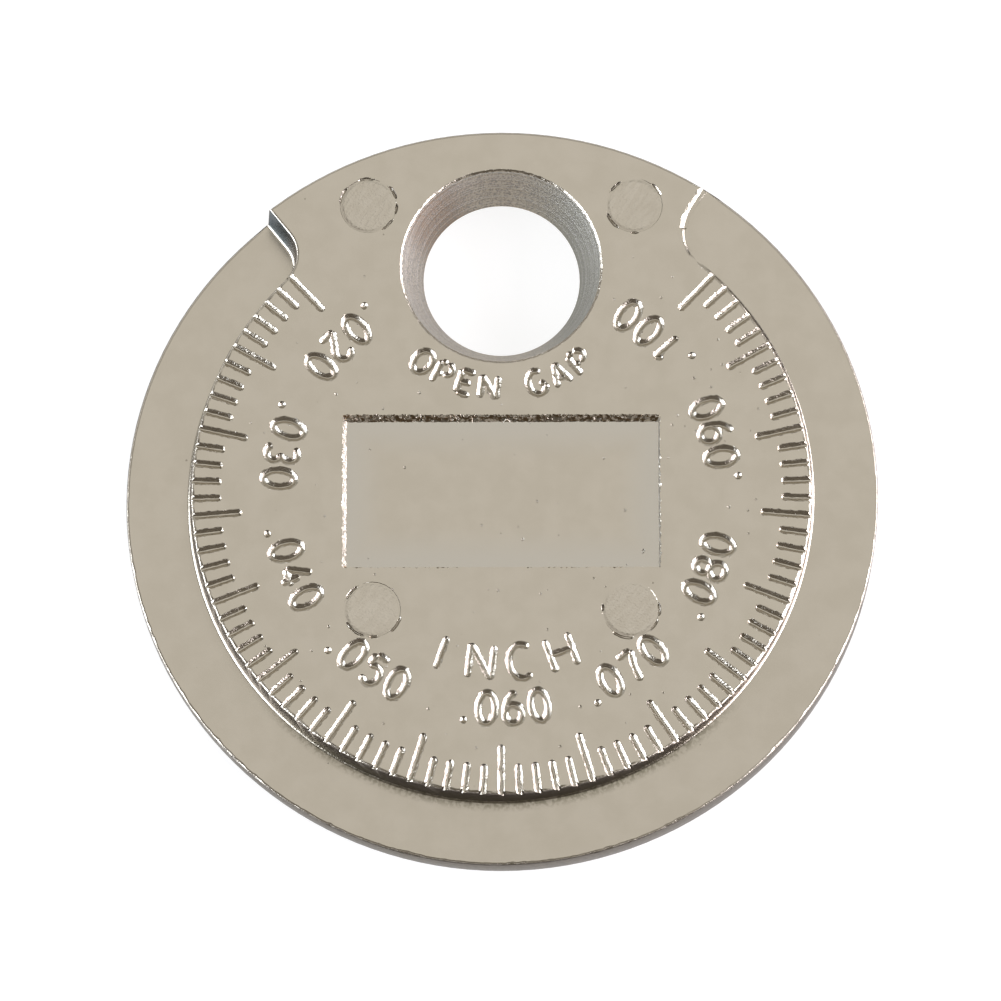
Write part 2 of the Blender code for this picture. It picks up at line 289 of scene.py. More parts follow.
UNIT_WORD = "INCH"
UNIT_RADIUS = 8.9
UNIT_PITCH = math.radians(13.2)
HOLE_WORDS = "OPEN GAP"
HOLE_WORD_RADIUS = 6.45
HOLE_WORD_PITCH = math.radians(10.9)
LETTER_SIZE = 1.18
HOLE_LETTER_SIZE = 0.82
MOST_LETTER_STROKES = 4
letter_section = cutting_section("letter_section", LETTER_SECTION)
letter_places = []
for word, size, radius, pitch, centre_y in (
    (UNIT_WORD, LETTER_SIZE, UNIT_RADIUS, UNIT_PITCH, 0.0),
    (HOLE_WORDS, HOLE_LETTER_SIZE, HOLE_WORD_RADIUS, HOLE_WORD_PITCH, HOLE_CENTRE_Y),
):
    for column, letter in enumerate(word):
        if letter != " ":
            angle = -math.pi / 2.0 + pitch * (column - (len(word) - 1) / 2.0)
            letter_places.append((letter, size, radius, angle, centre_y))
for stroke_number in range(MOST_LETTER_STROKES):
    cutters = []
    patterns = []
    for letter, size, radius, angle, centre_y in letter_places:
        strokes = LETTERS[letter]
        if stroke_number < len(strokes):
            stroke = [(x * size, y * size) for x, y in strokes[stroke_number]]
            pattern = cutting_stroke("letter", letter_section, stroke)
            x = radius * MM * math.cos(angle)
            y = centre_y + radius * MM * math.sin(angle)
            cutters.append(stamp_copy(pattern, x, y, angle + math.pi / 2.0))
            patterns.append(pattern)
    cut_from_gauge(cutters, patterns, WAVER)
bpy.ops.object.select_all(action='DESELECT')
letter_section.select_set(True)
figure_section.select_set(True)
bpy.ops.object.delete()

# The recess in the middle of the face is bare. The die left its walls rough, so they are cut again with a
# block whose sides waver. The left and top walls lean back, and the other two are nearly upright.
RECESS_LENGTH = 16.0 * MM
RECESS_HEIGHT = 7.85 * MM
RECESS_DEPTH = 0.385 * MM
RECESS_GROWTH = 0.003 * MM
WALL_RUNS = {"left": 0.18 * MM, "right": 0.07 * MM, "top": 0.285 * MM, "bottom": 0.07 * MM}
WALL_FEET = {"left": -0.185 * MM, "right": -0.065 * MM, "top": -0.205 * MM, "bottom": -0.065 * MM}
WALL_PARTS = (180, 90)
WALL_LAYERS = 4
LAYER_HEIGHT = RECESS_DEPTH / 3.0
ON_WALL = 0.01 * MM
ROUGH_FROM_FOOT = 0.6
ROUGH_WALL = 0.13 * MM
ROUGH_SCALE = 8200.0
SLOW_WALL = 0.06 * MM
SLOW_SCALE = 2700.0
bpy.ops.object.select_all(action='DESELECT')
bpy.ops.mesh.primitive_grid_add(x_subdivisions=WALL_PARTS[0], y_subdivisions=WALL_PARTS[1], size=1.0)
block = bpy.context.object
block.name = "recess_block"
block.scale = (RECESS_LENGTH, RECESS_HEIGHT, 1.0)
block.location = (0.0, 0.0, THICKNESS - RECESS_DEPTH)
bpy.ops.object.transform_apply(location=True, rotation=True, scale=True)
bpy.ops.object.mode_set(mode='EDIT')
bpy.ops.mesh.select_all(action='SELECT')
for layer in range(WALL_LAYERS):
    bpy.ops.mesh.extrude_region_move(TRANSFORM_OT_translate={"value": (0.0, 0.0, LAYER_HEIGHT)})
bpy.ops.mesh.select_all(action='SELECT')
bpy.ops.mesh.normals_make_consistent(inside=False)
bpy.ops.object.mode_set(mode='OBJECT')
for point in block.data.vertices:
    x, y, z = point.co
    height = (z - THICKNESS + RECESS_DEPTH) / RECESS_DEPTH
    waver = noise.noise_vector(point.co * ROUGH_SCALE) * ROUGH_WALL
    waver += noise.noise_vector(point.co * SLOW_SCALE) * SLOW_WALL
    roughness = min(1.0, height + ROUGH_FROM_FOOT)
    for wall, along, out in (("left", -1.0, -x), ("right", 1.0, x)):
        if out > RECESS_LENGTH / 2.0 - ON_WALL:
            shift = WALL_FEET[wall] + WALL_RUNS[wall] * height + RECESS_GROWTH
            point.co.x += along * (shift + abs(waver.x) * roughness)
    for wall, along, out in (("bottom", -1.0, -y), ("top", 1.0, y)):
        if out > RECESS_HEIGHT / 2.0 - ON_WALL:
            shift = WALL_FEET[wall] + WALL_RUNS[wall] * height + RECESS_GROWTH
            point.co.y += along * (shift + abs(waver.y) * roughness)
cut_from_gauge([block], [])

# Each of the four pin marks has a broken bruised ring round it, where the pins pressed the soft metal.
# A speck of dirt in the die left a tiny pit here and there.
RING_SECTION = ((0.01, -0.1), (0.045, -0.07), (0.075, -0.035), (0.1, 0.003), (0.11, 0.1))
RING_RADIUS = 1.43
RING_UNEVEN = 0.04
UPPER_MARK = (6.79, 15.11)
LOWER_MARK = (6.5, -6.15)
RING_ARCS = (
    (-UPPER_MARK[0], UPPER_MARK[1],
     ((-62.0, -28.0), (-18.0, 4.0), (14.0, 44.0), (76.0, 112.0), (138.0, 176.0))),
    (UPPER_MARK[0], UPPER_MARK[1], ((20.0, 52.0), (118.0, 150.0), (196.0, 238.0), (262.0, 280.0))),
    (-LOWER_MARK[0], LOWER_MARK[1], ((-52.0, -14.0), (120.0, 158.0), (206.0, 254.0), (262.0, 286.0))),
    (LOWER_MARK[0], LOWER_MARK[1], ((-50.0, -20.0), (-14.0, 14.0), (168.0, 186.0), (232.0, 276.0))),
)
PIT_SEED = 11
PIT_COUNT = 90
PIT_RADIUS = 0.12 * MM
PIT_RAISED = 0.62
PIT_REACH = 14.0
PIT_SIZES = (0.35, 1.0)
PIT_TILT = 0.7
PIT_TURN = 6.28
PITS_WITHIN = 14.5 * MM
CLEAR_OF_HOLE = 5.6 * MM
random.seed(PIT_SEED)
ring_section = cutting_section("ring_section", RING_SECTION)
arcs = []
for mark_x, mark_y, spans in RING_ARCS:
    for first, last in spans:
        uneven = RING_RADIUS + random.uniform(-RING_UNEVEN, RING_UNEVEN)
        arc = cutting_stroke("bruise", ring_section, oval(0.0, 0.0, uneven, uneven, first, last, count=8))
        arcs.append(stamp_copy(arc, mark_x * MM, mark_y * MM, 0.0))
        bpy.ops.object.select_all(action='DESELECT')
        arc.select_set(True)
        bpy.ops.object.delete()
cut_from_gauge(arcs, [ring_section], WAVER)
pits = []
while len(pits) < PIT_COUNT:
    x = random.uniform(-PIT_REACH, PIT_REACH) * MM
    y = random.uniform(-PIT_REACH, PIT_REACH) * MM
    size = random.uniform(*PIT_SIZES)
    tilt = random.uniform(-PIT_TILT, PIT_TILT)
    turn = random.uniform(0.0, PIT_TURN)
    if math.hypot(x, y) > PITS_WITHIN or math.dist((x, y), (0.0, HOLE_CENTRE_Y)) < CLEAR_OF_HOLE:
        continue
    inside = abs(x) < RECESS_LENGTH / 2.0 and abs(y) < RECESS_HEIGHT / 2.0
    bpy.ops.object.select_all(action='DESELECT')
    surface = THICKNESS - (RECESS_DEPTH if inside else 0.0)
    height = surface + PIT_RAISED * PIT_RADIUS * size
    bpy.ops.mesh.primitive_ico_sphere_add(subdivisions=2, radius=PIT_RADIUS * size, location=(x, y, height),
                                          rotation=(tilt, tilt, turn))
    pits.append(bpy.context.object)
cut_from_gauge(pits, [])

# At its high end the ramp meets the face in a very shallow step. Polishing has turned the step into a small
# slope, which catches the light, so it is cut once more along the step.
SLOPE_SECTION = (
    (-0.12, 0.1), (-0.115, 0.003), (-0.09, -0.012), (0.0, -0.07), (0.1, -0.135), (0.13, -0.15),
    (0.3, -0.15), (0.3, 0.1),
)
HIGH_STEP = (
    (9.22, 13.8), (9.21, 13.99), (9.3, 14.42), (9.57, 15.01), (9.92, 15.59), (10.3, 16.16), (10.5, 16.46),
)
slope_section = cutting_section("slope_section", SLOPE_SECTION, mirrored=False)
slope = cutting_stroke("slope", slope_section, HIGH_STEP)
cut_from_gauge([stamp_copy(slope, 0.0, 0.0, 0.0)], [slope, slope_section], WAVER)

# The mouth of the hole and the front right edge of the boss are worn to a narrow uneven facet, which grows
# wider at the right.
BOSS_LIP_SECTION = (
    (-0.05, 0.1), (-0.045, 0.003), (-0.03, -0.02), (0.0, -0.075), (0.03, -0.13), (0.05, -0.148),
    (0.3, -0.148), (0.3, 0.1),
)
HOLE_LIP_SECTION = ((0.02, -0.085), (0.07, -0.05), (0.12, -0.014), (0.14, 0.003), (0.15, 0.1))
BOSS_FACET_SECTION = (
    (-0.135, 0.1), (-0.13, 0.003), (-0.1, -0.018), (-0.05, -0.06), (0.0, -0.102), (0.05, -0.147),
    (0.3, -0.147), (0.3, 0.1),
)
BOSS_FACET_ARCS = ((321.0, 333.0, 15.66), (333.7, 349.5, 15.64), (350.2, 363.0, 15.67))
BOSS_LIP_RADIUS = 15.65
BOSS_LIP_ARC = (280.0, 320.0)
HOLE_LIP_RADIUS = 5.03
boss_lip_section = cutting_section("boss_lip_section", BOSS_LIP_SECTION, mirrored=False)
hole_lip_section = cutting_section("hole_lip_section", HOLE_LIP_SECTION)
boss_lip_path = oval(0.0, 0.0, BOSS_LIP_RADIUS, BOSS_LIP_RADIUS, *BOSS_LIP_ARC, count=80)
hole_lip_path = oval(0.0, 0.0, HOLE_LIP_RADIUS, HOLE_LIP_RADIUS, 0.0, 360.0, count=260)
boss_lip = cutting_stroke("boss_lip", boss_lip_section, boss_lip_path)
hole_lip = cutting_stroke("hole_lip", hole_lip_section, hole_lip_path)
lips = [stamp_copy(boss_lip, 0.0, 0.0, 0.0), stamp_copy(hole_lip, 0.0, HOLE_CENTRE_Y, 0.0)]
facet_section = cutting_section("facet_section", BOSS_FACET_SECTION, mirrored=False)
lip_patterns = [boss_lip, hole_lip, boss_lip_section, hole_lip_section, facet_section]
for first, last, radius in BOSS_FACET_ARCS:
    facet_path = oval(0.0, 0.0, radius, radius, first, last, count=30)
    facet = cutting_stroke("boss_facet", facet_section, facet_path)
    lips.append(stamp_copy(facet, 0.0, 0.0, 0.0))
    lip_patterns.append(facet)
cut_from_gauge(lips, lip_patterns, WAVER)

# Each groove breaks out of the boss through a small nick, cut here with a short round rod that is tilted so
# that it bites at the very edge. The last five grooves have none, because the boss is too low there.
NICK_RADIUS = 0.18 * MM
NICK_DEPTH = 0.11 * MM
NICK_LENGTH = 0.32 * MM
NICK_PLACE = 15.61 * MM
NICK_TILT = math.radians(36.0)
NICK_COUNT = 76
LEFT_OF_MIDDLE = -0.001
nicks = []
for number in range(NICK_COUNT):
    angle = FIRST_ANGLE + SCALE_SWEEP * number / (TICK_COUNT - 1)
    heading = math.atan2(math.sin(angle), abs(math.cos(angle))) / 2.0
    if math.cos(angle) < LEFT_OF_MIDDLE:
        heading = math.pi - heading
    lean = math.sin(NICK_TILT) * NICK_LENGTH / 2.0
    nick_place = (
        NICK_PLACE * math.cos(angle) + lean * math.cos(heading),
        NICK_PLACE * math.sin(angle) + lean * math.sin(heading),
        THICKNESS - NICK_DEPTH + math.cos(NICK_TILT) * NICK_LENGTH / 2.0,
    )
    bpy.ops.object.select_all(action='DESELECT')
    bpy.ops.mesh.primitive_cylinder_add(vertices=14, radius=NICK_RADIUS, depth=NICK_LENGTH,
                                        location=nick_place, rotation=(0.0, NICK_TILT, heading))
    nicks.append(bpy.context.object)
cut_from_gauge(nicks, [])

# The rim's outer edge is worn into small waves at the front, and each of the four pin marks is sunk deeper
# on one side than on the other. The edge is divided first, so that it can follow the waves.
OUTER_RADIUS = 19.05 * MM
EDGE_BAND = 0.2 * MM
EDGE_KEPT = 0.02 * MM
EDGE_ABOVE = 0.3 * MM
LONG_EDGE = 0.3 * MM
EDGE_CUTS = 4
RIM_WAVE = 0.07 * MM
LEAST_WAVE = -0.2
WIDE_WAVE_SHARE = 0.5
WIDE_WAVE_SCALE = 700.0
SHORT_WAVE_SCALE = 3100.0
WORN_FROM = 6.0 * MM
WORN_OVER = 14.0 * MM
PIN_MARKS = (
    (-UPPER_MARK[0], UPPER_MARK[1], 200.0), (UPPER_MARK[0], UPPER_MARK[1], 330.0),
    (-LOWER_MARK[0], LOWER_MARK[1], 20.0), (LOWER_MARK[0], LOWER_MARK[1], 310.0),
)
PIN_RADIUS = 1.5 * MM
PIN_FLOORS = (0.03 * MM, 0.06 * MM)
PIN_DEPTH = 0.032 * MM
PIN_SLOPE = 0.018
bpy.ops.object.select_all(action='DESELECT')
gauge.select_set(True)
bpy.context.view_layer.objects.active = gauge
bpy.ops.object.mode_set(mode='EDIT')
bpy.ops.mesh.select_all(action='DESELECT')
bpy.ops.object.mode_set(mode='OBJECT')
on_edge = []
for point in gauge.data.vertices:
    near_edge = point.co.xy.length > OUTER_RADIUS - EDGE_BAND and point.co.z > EDGE_ABOVE
    on_edge.append(near_edge)
for edge in gauge.data.edges:
    first, second = (gauge.data.vertices[k].co for k in edge.vertices)
    along = (first - second).xy.length
    if on_edge[edge.vertices[0]] and on_edge[edge.vertices[1]] and along > LONG_EDGE:
        edge.select = True
bpy.ops.object.mode_set(mode='EDIT')
bpy.ops.mesh.select_mode(type='EDGE')
bpy.ops.mesh.subdivide(number_cuts=EDGE_CUTS)
bpy.ops.mesh.select_all(action='SELECT')
bpy.ops.mesh.quads_convert_to_tris()
bpy.ops.object.mode_set(mode='OBJECT')
for point in gauge.data.vertices:
    x, y, z = point.co
    out = math.hypot(x, y)
    for mark_x, mark_y, deep_side in PIN_MARKS:
        from_x = x - mark_x * MM
        from_y = y - mark_y * MM
        if math.hypot(from_x, from_y) < PIN_RADIUS and PIN_FLOORS[0] < THICKNESS - z < PIN_FLOORS[1]:
            across = from_x * math.cos(math.radians(deep_side)) + from_y * math.sin(math.radians(deep_side))
            point.co.z = THICKNESS - PIN_DEPTH - PIN_SLOPE * across
    if EDGE_BAND > OUTER_RADIUS - out > EDGE_KEPT and z > EDGE_ABOVE:
        wave = WIDE_WAVE_SHARE * noise.noise(point.co * WIDE_WAVE_SCALE)
        wave = max(LEAST_WAVE, wave + noise.noise(point.co * SHORT_WAVE_SCALE))
        worn = min(1.0, max(0.0, (WORN_FROM - y) / WORN_OVER))
        shrink = 1.0 - wave * worn * RIM_WAVE / out
        point.co.x *= shrink
        point.co.y *= shrink

# The whole gauge is plated with satin nickel, a warm grey metal, in one bath after it was cast and trimmed.
# Its material is built up from small steps: sums, ramps, blended colours and clouds of noise.
nickel = bpy.data.materials.new("satin_nickel")
nickel.use_nodes = True
nodes = nickel.node_tree.nodes
links = nickel.node_tree.links
shader = nodes["Principled BSDF"]
shader.inputs["Metallic"].default_value = 1.0
position = nodes.new("ShaderNodeTexCoord")


def feed(socket, value):
    """Sets a socket to a value or links it to another node's output."""
    if isinstance(value, bpy.types.NodeSocket):
        links.new(value, socket)
    else:
        socket.default_value = value


def calculate(operation, first, second=0.0):
    """The result of one sum on two values."""
    node = nodes.new("ShaderNodeMath")
    node.operation = operation
    feed(node.inputs[0], first)
    feed(node.inputs[1], second)
    return node.outputs["Value"]


def ramp_between(value, low, high, at_low=0.0, at_high=1.0):
    """A share that goes softly from one value to another while the input passes from low to high."""
    node = nodes.new("ShaderNodeMapRange")
    node.interpolation_type = 'SMOOTHSTEP'
    feed(node.inputs["Value"], value)
    node.inputs["From Min"].default_value = low
    node.inputs["From Max"].default_value = high
    node.inputs["To Min"].default_value = at_low
    node.inputs["To Max"].default_value = at_high
    return node.outputs["Result"]


def blend_colours(share, first, second):
    """The first colour where the share is 0, and the second where it is 1."""
    node = nodes.new("ShaderNodeMix")
    node.data_type = 'RGBA'
    feed(node.inputs["Factor"], share)
    feed(node.inputs[6], first)
    feed(node.inputs[7], second)
    return node.outputs[2]


def distance_from(spot, x, y):
    """How far a point, seen from above, is from a place on the face."""
    node = nodes.new("ShaderNodeVectorMath")
    node.operation = 'DISTANCE'
    feed(node.inputs[0], spot)
    node.inputs[1].default_value = (x, y, 0.0)
    return node.outputs["Value"]


def cloud(scale, detail, stretch=(1.0, 1.0, 1.0), turn=0.0):
    """Noise with features of about one over the scale, in metres."""
    setting = nodes.new("ShaderNodeMapping")
    setting.vector_type = 'TEXTURE'
    setting.inputs["Rotation"].default_value = (0.0, 0.0, turn)
    setting.inputs["Scale"].default_value = stretch
    links.new(position.outputs["Object"], setting.inputs["Vector"])
    node = nodes.new("ShaderNodeTexNoise")
    node.inputs["Scale"].default_value = scale
    node.inputs["Detail"].default_value = detail
    links.new(setting.outputs["Vector"], node.inputs["Vector"])
    return node.outputs["Fac"]


# Some places on the gauge have a look of their own: the hole's cone, the trimmed side of the rim, the four
# pin marks and the recess. Each is found by its distance from a point, and the flat back is left out where
# it lies under such a place.
HOLE_MOUTH = 5.05 * MM
RIM_SIDE = 19.0 * MM
BACK_SKIN = 0.02 * MM
MARK_SHARES = (1.2 * MM, 1.42 * MM, 1.0, 0.0)
RECESS_GLOW_SHARES = (0.0, 2.4 * MM, 1.0, 0.0)
axes = nodes.new("ShaderNodeSeparateXYZ")
links.new(position.outputs["Object"], axes.inputs["Vector"])
from_above = nodes.new("ShaderNodeCombineXYZ")
links.new(axes.outputs["X"], from_above.inputs["X"])
links.new(axes.outputs["Y"], from_above.inputs["Y"])
one_half = nodes.new("ShaderNodeCombineXYZ")
feed(one_half.inputs["X"], calculate('ABSOLUTE', axes.outputs["X"]))
links.new(axes.outputs["Y"], one_half.inputs["Y"])
from_centre = distance_from(from_above.outputs["Vector"], 0.0, 0.0)
from_hole = distance_from(from_above.outputs["Vector"], 0.0, HOLE_CENTRE_Y)
from_upper_mark = distance_from(one_half.outputs["Vector"], UPPER_MARK[0] * MM, UPPER_MARK[1] * MM)
from_lower_mark = distance_from(one_half.outputs["Vector"], LOWER_MARK[0] * MM, LOWER_MARK[1] * MM)
from_mark = calculate('MINIMUM', from_upper_mark, from_lower_mark)
above_back = calculate('GREATER_THAN', axes.outputs["Z"], BACK_SKIN)
in_cone = calculate('MULTIPLY', calculate('LESS_THAN', from_hole, HOLE_MOUTH), above_back)
on_side = calculate('GREATER_THAN', from_centre, RIM_SIDE)
in_mark = calculate('MULTIPLY', ramp_between(from_mark, *MARK_SHARES), above_back)
to_end = calculate('SUBTRACT', RECESS_LENGTH / 2.0, calculate('ABSOLUTE', axes.outputs["X"]))
to_side = calculate('SUBTRACT', RECESS_HEIGHT / 2.0, calculate('ABSOLUTE', axes.outputs["Y"]))
to_wall = calculate('MINIMUM', to_end, to_side)
in_recess = calculate('MULTIPLY', calculate('GREATER_THAN', to_wall, 0.0), above_back)
# A painted glow: the recess floor is painted lighter near its walls.
recess_glow_share = calculate('MULTIPLY', ramp_between(to_wall, *RECESS_GLOW_SHARES), in_recess)

# The casting's skin shows through the plating as a faint mottle, a fine grain and tiny pits. The tapered
# cutter that opened the hole left uneven rings in it, and each pin mark keeps the hatching of the pin's
# sawn end.
MOTTLE_SCALE = 700.0
GRAIN_SCALE = 4600.0
SAND_SCALE = 9500.0
LUMP_SCALE = 5200.0
CONE_RING_SCALE = 16000.0
MOTTLED_RING = 0.1 * MM
GRAINY_RING = 0.09 * MM
HATCHING_SCALE = 5200.0
HATCHING_STRETCH = (1.0, 6.0, 1.0)
HATCHING_TURN = math.radians(-38.0)
SPECK_SCALE = 1500.0
SPECKS_LEFT_OUT = 0.9
SPECK_SHARES = (0.02, 0.075, 1.0, 0.0)
mottle = cloud(MOTTLE_SCALE, detail=5.0)
grain = cloud(GRAIN_SCALE, detail=3.0)
sand = cloud(SAND_SCALE, detail=2.0)
lumps = cloud(LUMP_SCALE, detail=3.0)
cone_rings = nodes.new("ShaderNodeTexNoise")
cone_rings.noise_dimensions = '1D'
cone_rings.inputs["Scale"].default_value = CONE_RING_SCALE
cone_rings.inputs["Detail"].default_value = 2.0
ring_height = calculate('ADD', axes.outputs["Z"], calculate('MULTIPLY', mottle, MOTTLED_RING))
ring_height = calculate('ADD', ring_height, calculate('MULTIPLY', grain, GRAINY_RING))
feed(cone_rings.inputs["W"], ring_height)
hatching = cloud(HATCHING_SCALE, detail=2.0, stretch=HATCHING_STRETCH, turn=HATCHING_TURN)
specks = nodes.new("ShaderNodeTexVoronoi")
specks.inputs["Scale"].default_value = SPECK_SCALE
links.new(position.outputs["Object"], specks.inputs["Vector"])
speck_choice = nodes.new("ShaderNodeSeparateColor")
links.new(specks.outputs["Color"], speck_choice.inputs["Color"])
few = calculate('GREATER_THAN', speck_choice.outputs["Red"], SPECKS_LEFT_OUT)
pit = calculate('MULTIPLY', ramp_between(specks.outputs["Distance"], *SPECK_SHARES), few)

# The plating is painted lighter inside the recess along its walls, a painted glow, and darker on steep
# walls, as painted shade. The long walls of the recess carry a brown painted shade with pale specks, and
# the wall of the step at the ramp's low end carries the darkest painted shade.
NICKEL_COLOUR = (0.5, 0.456, 0.383, 1.0)
MOTTLE_COLOUR = (0.53, 0.485, 0.411, 1.0)
MOTTLE_SHARES = (0.3, 0.7)
RECESS_GLOW_COLOUR = (0.52, 0.49, 0.435, 1.0)
STEEP_SHARES = (0.6, 0.68, 1.0, 0.0)
SLOPING_SHARES = (0.8, 0.93, 1.0, 0.0)
STEEP_WALL_SHADE = (0.215, 0.19, 0.165, 1.0)
STEP_SHADE = (0.085, 0.098, 0.105, 1.0)
LOW_STEP = (-11.6 * MM, 14.6 * MM)
LOW_STEP_SHARES = (0.8 * MM, 2.4 * MM, 1.0, 0.0)
RECESS_WALL_SHADE = (0.2, 0.145, 0.085, 1.0)
RECESS_WALL_SPECKS = (0.95, 0.87, 0.74, 1.0)
RECESS_LUMP_SHARES = (0.48, 0.62)
RECESS_WALL_SHARES = (-1.2 * MM, -0.6 * MM)
facing = nodes.new("ShaderNodeSeparateXYZ")
links.new(position.outputs["Normal"], facing.inputs["Vector"])
plated = blend_colours(ramp_between(mottle, *MOTTLE_SHARES), NICKEL_COLOUR, MOTTLE_COLOUR)
plated = blend_colours(recess_glow_share, plated, RECESS_GLOW_COLOUR)
steep = calculate('MULTIPLY', ramp_between(facing.outputs["Z"], *STEEP_SHARES), above_back)
sloping = calculate('MULTIPLY', ramp_between(facing.outputs["Z"], *SLOPING_SHARES), above_back)
# The wall of the step at the ramp's low end takes the darkest painted shade.
from_low_step = distance_from(from_above.outputs["Vector"], *LOW_STEP)
painted_wall_shade = blend_colours(ramp_between(from_low_step, *LOW_STEP_SHARES), STEEP_WALL_SHADE, STEP_SHADE)
# The long walls of the recess carry a brown painted shade, with pale specks in it.
wall_speck_share = ramp_between(lumps, *RECESS_LUMP_SHARES)
recess_brown_shade = blend_colours(wall_speck_share, RECESS_WALL_SHADE, RECESS_WALL_SPECKS)
in_recess_wall = ramp_between(to_wall, *RECESS_WALL_SHARES)
# The recess's end walls keep the lighter colour of the painted glow.
painted_wall_shade = blend_colours(in_recess_wall, painted_wall_shade, RECESS_GLOW_COLOUR)
in_long_wall = calculate('MULTIPLY', in_recess_wall, calculate('LESS_THAN', to_side, to_end))
painted_wall_shade = blend_colours(in_long_wall, painted_wall_shade, recess_brown_shade)
# Steep walls take the painted wall shade, which also holds the recess's painted glow and brown shade.
plated = blend_colours(steep, plated, painted_wall_shade)

# The corner at the foot of the boss is painted darker, as painted shade. It is nearly black at the upper
# right, where the boss is low, and a brown painted shadow at the front, which fades out onto the rim.
FOOT_SHADE = (0.03, 0.028, 0.025, 1.0)
FOOT_SHADOW = (0.2, 0.18, 0.13, 1.0)
FOOT_SHARES = (15.7 * MM, 15.75 * MM)
SHADE_END_SHARES = (16.0 * MM, 16.1 * MM, 1.0, 0.0)
SHADE_RIGHT_SHARES = (9.0 * MM, 10.0 * MM)
SHADE_UPPER_SHARES = (0.4 * MM, 1.2 * MM)
SHADE_LUMP_SHARES = (0.4, 0.52, 0.6, 1.0)
SHADOW_END_SHARES = (15.8 * MM, 16.4 * MM, 1.0, 0.0)
SHADOW_FRONT_SHARES = (-13.0 * MM, -10.0 * MM, 1.0, 0.0)
SHADOW_LUMP_SHARES = (0.4, 0.6, 0.25, 0.85)
past_foot = ramp_between(from_centre, *FOOT_SHARES)
at_foot = calculate('MULTIPLY', past_foot, ramp_between(from_centre, *SHADE_END_SHARES))
upper_right = calculate('MULTIPLY', ramp_between(axes.outputs["X"], *SHADE_RIGHT_SHARES),
                        ramp_between(axes.outputs["Y"], *SHADE_UPPER_SHARES))
foot_shade_share = calculate('MULTIPLY', calculate('MULTIPLY', at_foot, upper_right), sloping)
foot_shade_share = calculate('MULTIPLY', foot_shade_share, ramp_between(lumps, *SHADE_LUMP_SHARES))
# Painted shade: the corner at the boss's foot is darkened nearly to black at the upper right.
plated = blend_colours(foot_shade_share, plated, FOOT_SHADE)
by_foot = calculate('MULTIPLY', past_foot, ramp_between(from_centre, *SHADOW_END_SHARES))
at_front = calculate('MULTIPLY', ramp_between(axes.outputs["Y"], *SHADOW_FRONT_SHARES), above_back)
foot_shadow_share = calculate('MULTIPLY', calculate('MULTIPLY', by_foot, at_front),
                  ramp_between(lumps, *SHADOW_LUMP_SHARES))
# Painted shadow: a brown band below the boss's front wall, fading out onto the rim.
plated = blend_colours(foot_shadow_share, plated, FOOT_SHADOW)

# Tools have left their traces in two places. Each pin mark keeps pale lines from the pin's sawn end, and
# the cone keeps the cutter's rings as bright lines. The cone is greyer than the face, with painted light at
# its top, painted shade at its right and a brown patch at its upper left.
MARK_LINES = (0.66, 0.62, 0.55, 1.0)
MARK_LINE_SHARES = (0.42, 0.6, 0.0, 0.14)
CONE_LEFT_SHADING = (0.36, 0.322, 0.27, 1.0)
CONE_TOP_LIGHT = (0.45, 0.395, 0.32, 1.0)
CONE_RIGHT_SHADE = (0.235, 0.23, 0.192, 1.0)
CONE_BROWN = (0.21, 0.135, 0.08, 1.0)
CONE_LINES = (0.56, 0.54, 0.51, 1.0)
CONE_SPOTS = (0.2, 0.19, 0.175, 1.0)
LEFT_TO_TOP = (-4.0 * MM, -0.5 * MM)
TOP_TO_RIGHT = (0.5 * MM, 4.0 * MM)
BROWN_PLACE = (-3.5 * MM, HOLE_CENTRE_Y + 2.9 * MM)
BROWN_SHARES = (0.6 * MM, 2.6 * MM, 0.75, 0.0)
CONE_SPOT_SHARES = (0.44, 0.62, 0.0, 0.75)
CONE_LINE_SHARES = (0.48, 0.75, 0.0, 0.75)
hatched = calculate('MULTIPLY', in_mark, ramp_between(hatching, *MARK_LINE_SHARES))
plated = blend_colours(hatched, plated, MARK_LINES)
# The cone's colour changes round it as painted light and shade: lighter at the top, darker at the right.
cone_colour_and_shading = blend_colours(ramp_between(axes.outputs["X"], *LEFT_TO_TOP), CONE_LEFT_SHADING, CONE_TOP_LIGHT)
cone_colour_and_shading = blend_colours(ramp_between(axes.outputs["X"], *TOP_TO_RIGHT), cone_colour_and_shading, CONE_RIGHT_SHADE)
from_brown = distance_from(from_above.outputs["Vector"], *BROWN_PLACE)
cone_colour_and_shading = blend_colours(ramp_between(from_brown, *BROWN_SHARES), cone_colour_and_shading, CONE_BROWN)
cone_colour_and_shading = blend_colours(ramp_between(sand, *CONE_SPOT_SHARES), cone_colour_and_shading, CONE_SPOTS)
ring_lines = ramp_between(cone_rings.outputs["Fac"], *CONE_LINE_SHARES)
cone_colour_and_shading = blend_colours(ring_lines, cone_colour_and_shading, CONE_LINES)
with_cone = blend_colours(in_cone, plated, cone_colour_and_shading)

# The side of the rim was trimmed after casting, so it is dull, and it is painted dark as painted shade. The
# plating's relief is very fine: the cone, the sloping walls and the pin marks are rougher than the face,
# and the pits are sunk in it.
SIDE_SHADE = (0.175, 0.157, 0.136, 1.0)
SIDE_SHADE_GRAIN = (0.205, 0.185, 0.16, 1.0)
SIDE_GRAIN_SHARES = (0.35, 0.65)
NICKEL_ROUGHNESS = 0.24
MOTTLE_ROUGHNESS = 0.02
CONE_DULLNESS = 0.3
SIDE_DULLNESS = 0.22
STEEP_DULLNESS = 0.12
GRAIN_RELIEF = 0.0016
MOTTLE_RELIEF = 0.003
RING_RELIEF = 0.018
SAND_RELIEF = 0.05
HATCHING_RELIEF = 0.03
PIT_RELIEF = 0.012
SLOPING_SAND = 0.4
MARK_SAND = 0.35
